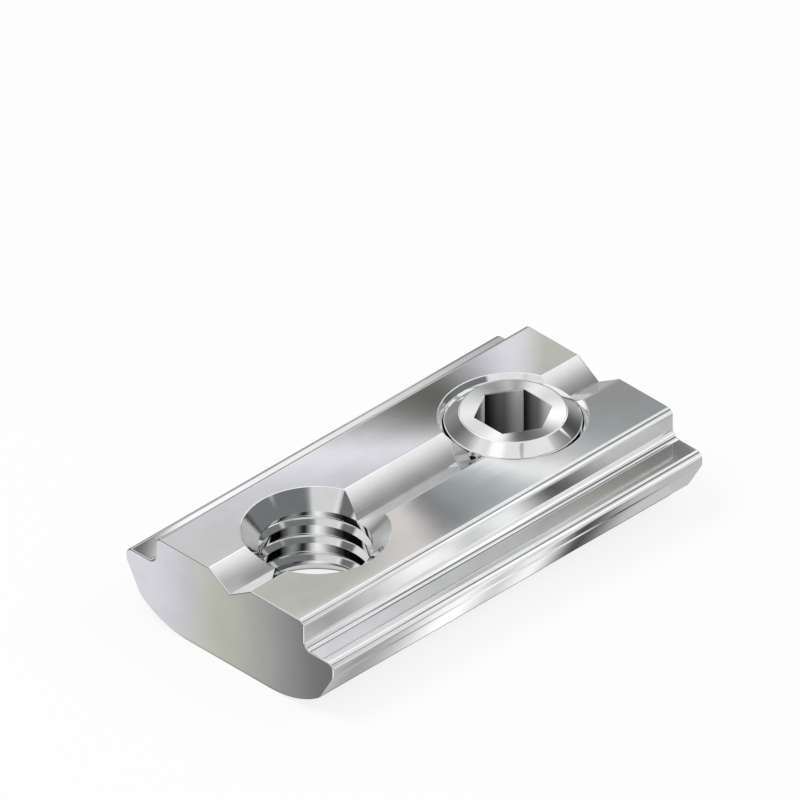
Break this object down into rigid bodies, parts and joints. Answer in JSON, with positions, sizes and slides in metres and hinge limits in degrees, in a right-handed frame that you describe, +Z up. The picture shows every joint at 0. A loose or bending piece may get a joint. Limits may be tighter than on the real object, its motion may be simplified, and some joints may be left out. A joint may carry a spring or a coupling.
{
  "type": "t slot nut",
  "caption": "Long T-slot nut with a stepped neck, a round belly, a V groove, an open threaded hole and a hexagon socket set screw that jacks it against the slot's lips.",
  "frame": {"origin": "middle of the flat floor, on the surface the nut stands on", "axes": "+X along the nut towards the set screw, +Y across it, +Z up through the neck and along both threads"},
  "size_m": [0.03, 0.0168, 0.0064],
  "materials": {
    "nut_steel": "bright zinc plate over drawn steel",
    "screw_steel": "bright zinc plate over turned steel"
  },
  "bodies": {
    "nut": {"nut_body": "nut_steel"},
    "screw": {"set_screw": "screw_steel"}
  },
  "joints": [
    {"name": "screw_travel", "type": "slide", "parent": "nut", "child": "screw", "axis": [0, 0, 1], "range_m": [-0.0025, 0.00125]}
  ]
}
